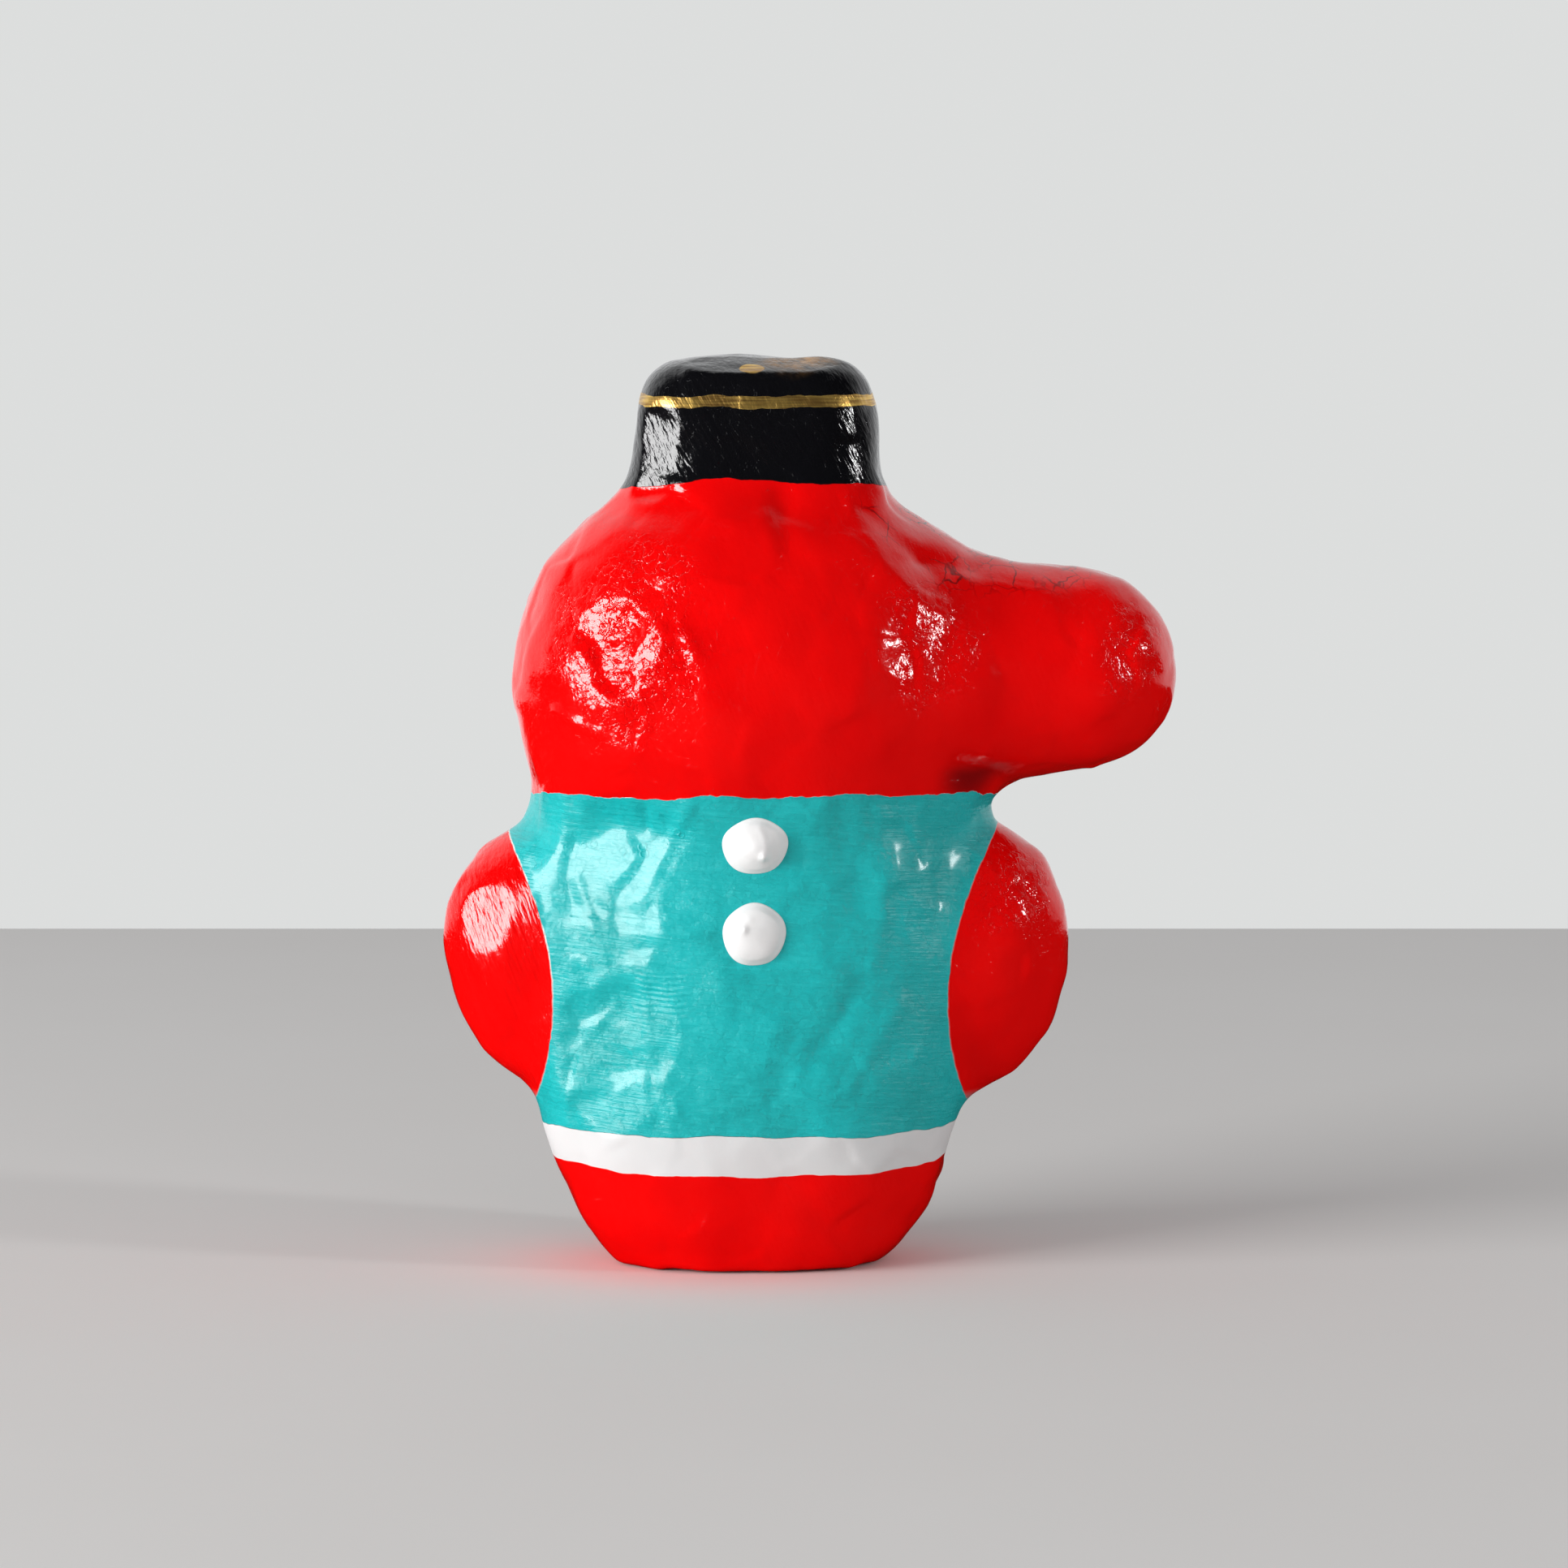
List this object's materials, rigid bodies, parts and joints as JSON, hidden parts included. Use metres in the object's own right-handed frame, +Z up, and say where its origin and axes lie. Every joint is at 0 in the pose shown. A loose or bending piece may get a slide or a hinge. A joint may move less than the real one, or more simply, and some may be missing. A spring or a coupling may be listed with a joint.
{
  "type": "papier-mache figure",
  "caption": "Standing papier-mache figure with a round head, long blunt snout, side arms, tall flat-topped hat and raised paint buttons.",
  "frame": {"origin": "middle of the flat underside", "axes": "+Z up to the top of the hat, +X towards the tip of the snout, -Y out of the side with the two buttons"},
  "size_m": [0.0882, 0.0441, 0.1095],
  "materials": {
    "painted_paper": "varnished red papier-mache with a painted turquoise vest, white hem, black hat and thin gold hat band",
    "button_paint": "satin white relief paint, set down in thick drops"
  },
  "bodies": {
    "root": {"figure": "painted_paper", "button_upper": "button_paint", "button_lower": "button_paint"}
  },
  "joints": []
}
